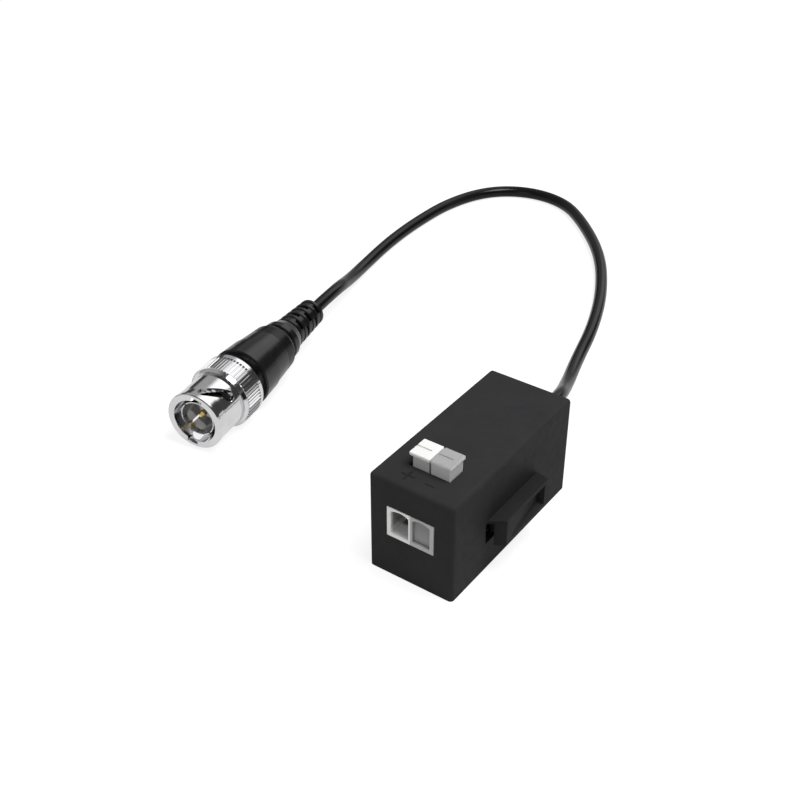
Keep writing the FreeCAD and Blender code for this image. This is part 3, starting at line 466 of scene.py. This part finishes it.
def make_boot_webs(material):
    form = bmesh.new()
    for gap in range(RIB_COUNT - 1):
        share = (gap + 1) / (RIB_COUNT - 1)
        outer = RIB_R_FIRST + (RIB_R_LAST - RIB_R_FIRST) * share - WEB_BELOW_RIB
        end = BOOT_END - RIB_T - (RIB_COUNT - 2 - gap) * RIB_PITCH
        start = end - (RIB_PITCH - RIB_T)
        for index in range(WEBS_PER_GAP):
            angle = 2 * math.pi * (index + 0.5 * (gap % 2)) / WEBS_PER_GAP
            add_sector(form, start - WEB_BITE, end + WEB_BITE, outer, angle)
    webs = closed_piece(form, "boot_webs", material)
    for polygon in webs.data.polygons:
        polygon.use_smooth = True
    even_normals(webs.data)
    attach(webs, "housing")


# Polarity marks, inked on the top face in front of the buttons
MARK_TOP = 21.312 * MM
MARK_BOTTOM = 21.25 * MM
MARK_STROKE = 0.44 * MM
PLUS_PLACE = (-2.8 * MM, -17.0 * MM)
PLUS_SPAN = 2.8 * MM
MINUS_PLACE = (1.85 * MM, -17.2 * MM)
MINUS_SPAN = 1.9 * MM


def plus_outline():
    """Twelve corners of a plus sign, one arm after another."""
    inner = MARK_STROKE / 2
    outer = PLUS_SPAN / 2
    x, y = PLUS_PLACE
    arm = [Vector((inner, inner)), Vector((outer, inner)), Vector((outer, -inner))]
    corners = []
    for quarter in range(4):
        turn = Matrix.Rotation(-math.pi / 2 * quarter, 2)
        corners += [turn @ corner for corner in arm]
    return [(corner.x + x, corner.y + y) for corner in corners]


def minus_outline():
    x, y = MINUS_PLACE
    return [(x + sx * MINUS_SPAN / 2, y + sy * MARK_STROKE / 2)
            for sx, sy in ((1, 1), (1, -1), (-1, -1), (-1, 1))]


def make_marks(material):
    """Plus and minus as thin closed bars of ink."""
    form = bmesh.new()
    for outline in (plus_outline(), minus_outline()):
        upper = [form.verts.new((x, y, MARK_TOP)) for x, y in outline]
        lower = [form.verts.new((x, y, MARK_BOTTOM)) for x, y in outline]
        form.faces.new(upper)
        form.faces.new(lower[::-1])
        for index in range(len(outline)):
            form.faces.new((upper[index - 1], upper[index], lower[index], lower[index - 1]))
    marks = closed_piece(form, "polarity_marks", material)
    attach(marks, "housing")


# Stage
SKY_LEVEL = 0.40         # world's light on surfaces
ROOM_PLAIN = 0.38        # and what polished surfaces see of it
ROOM_DARK = 0.05
SOFTBOX = 1.0            # on top of the plain room
FLOOR_GREY = 0.30        # as the camera sees it, so that the shadow stays soft
FLOOR_BOUNCE = 0.64      # and as it lights the object
FLOOR_GLOW = 0.80        # to the camera
FLOOR_MIRRORED = 0.50    # and in polished surfaces
FLOOR_ROUGHNESS = 0.9
FLOOR_SIZE = 6.0
FLOOR_DROP = 0.02 * MM   # below the object
WHITE = (1.0, 1.0, 1.0, 1.0)


def make_floor():
    material, tree, shader = new_material("studio_floor")
    shader.inputs["Roughness"].default_value = FLOOR_ROUGHNESS
    shader.inputs["Specular IOR Level"].default_value = 0.0
    glow = tree.nodes.new("ShaderNodeEmission")
    glow.inputs["Color"].default_value = WHITE
    path = tree.nodes.new("ShaderNodeLightPath")
    seen = math_node(tree, "MAXIMUM", (path, "Is Camera Ray"), (path, "Is Glossy Ray"))
    direct = math_node(tree, "MULTIPLY", (path, "Is Camera Ray"), FLOOR_GLOW)
    mirrored = math_node(tree, "MULTIPLY", (path, "Is Glossy Ray"), FLOOR_MIRRORED)
    level = math_node(tree, "ADD", (direct, "Value"), (mirrored, "Value"))
    link(tree, level, "Value", glow, "Strength")
    albedo = tree.nodes.new("ShaderNodeMapRange")
    link(tree, seen, "Value", albedo, "Value")
    albedo.inputs["To Min"].default_value = FLOOR_BOUNCE
    albedo.inputs["To Max"].default_value = FLOOR_GREY
    link(tree, albedo, "Result", shader, "Base Color")
    both = tree.nodes.new("ShaderNodeAddShader")
    link(tree, shader, "BSDF", both, 0)
    link(tree, glow, "Emission", both, 1)
    link(tree, both, "Shader", tree.nodes["Material Output"], "Surface")
    bpy.ops.mesh.primitive_plane_add(size=FLOOR_SIZE, location=(0, 0, -FLOOR_DROP))
    floor = bpy.context.object
    floor.name = "studio_floor"
    floor.data.materials.append(material)


# What polished surfaces see in the room: a direction, and the cosines at which it begins and is full
SOFTBOX_PLACE = (Vector((0.08, 0.78, 0.62)), 0.84, 0.96)
DARK_CARDS = [
    (Vector((0.477, -0.669, 0.570)), 0.35, 0.80),
    (Vector((0.500, 0.840, 0.200)), 0.88, 0.95),
    (Vector((-0.770, 0.630, 0.050)), 0.955, 0.985),
]


def patch(tree, coords, direction, begin, full, outside, inside):
    """A value inside a round patch of the sky, fading to another one outside."""
    facing = tree.nodes.new("ShaderNodeVectorMath")
    facing.operation = "DOT_PRODUCT"
    link(tree, coords, "Generated", facing, 0)
    facing.inputs[1].default_value = direction.normalized()
    return fade(tree, facing, "Value", begin, full, outside, inside)


def make_world():
    """White to the camera, a plain level on surfaces, a soft box and dark cards in reflections."""
    world = bpy.data.worlds.new("studio")
    bpy.context.scene.world = world
    world.use_nodes = True
    tree = world.node_tree
    background = tree.nodes["Background"]
    background.inputs["Color"].default_value = WHITE
    path = tree.nodes.new("ShaderNodeLightPath")
    seen = math_node(tree, "MAXIMUM", (path, "Is Camera Ray"), (path, "Is Transmission Ray"))
    coords = tree.nodes.new("ShaderNodeTexCoord")
    direction, begin, full = SOFTBOX_PLACE
    box = patch(tree, coords, direction, begin, full, 0.0, SOFTBOX)
    room = math_node(tree, "ADD", (box, "Result"), ROOM_PLAIN)
    for direction, begin, full in DARK_CARDS:
        card = patch(tree, coords, direction, begin, full, 1.0, 0.0)
        room = math_node(tree, "MULTIPLY", (room, "Value"), (card, "Result"))
    room = math_node(tree, "MAXIMUM", (room, "Value"), ROOM_DARK)
    mirrored = math_node(tree, "MULTIPLY", (room, "Value"), (path, "Is Glossy Ray"))
    plain = math_node(tree, "SUBTRACT", 1.0, (path, "Is Glossy Ray"))
    plain = math_node(tree, "MULTIPLY", (plain, "Value"), SKY_LEVEL)
    lit = math_node(tree, "ADD", (mirrored, "Value"), (plain, "Value"))
    level = math_node(tree, "MAXIMUM", (lit, "Value"), (seen, "Value"))
    link(tree, level, "Value", background, "Strength")


# Square lamps: name, place, what it looks at, side and watts
LAMPS = (
    ("key", (0.18, 0.05, 0.53), (-0.02, 0.02, 0.0), 0.30, 2.62),
    ("front_fill", (0.05, -0.55, 0.22), (-0.02, 0.0, 0.01), 0.30, 0.25),
)


def area_light(name, place, aim, size, watts):
    data = bpy.data.lights.new(name, "AREA")
    data.size = size
    data.energy = watts
    lamp = bpy.data.objects.new(name, data)
    lamp.location = place
    lamp.rotation_euler = (Vector(place) - Vector(aim)).to_track_quat("Z", "Y").to_euler()
    bpy.context.scene.collection.objects.link(lamp)


def main():
    make_camera()
    materials = make_materials()
    slots = {s["node"]: s["material_slot"] for s in frame["record"]["subparts"]}
    for name in nodes:
        dress(name, materials[OWN_LOOKS.get(name, slots[name])])
    make_cable(materials["cable_jacket"])
    make_boot_webs(materials["boot_plastic"])
    make_marks(materials["mark_ink"])
    make_floor()
    make_world()
    for lamp in LAMPS:
        area_light(*lamp)
    bpy.context.scene.view_settings.view_transform = "Standard"


main()
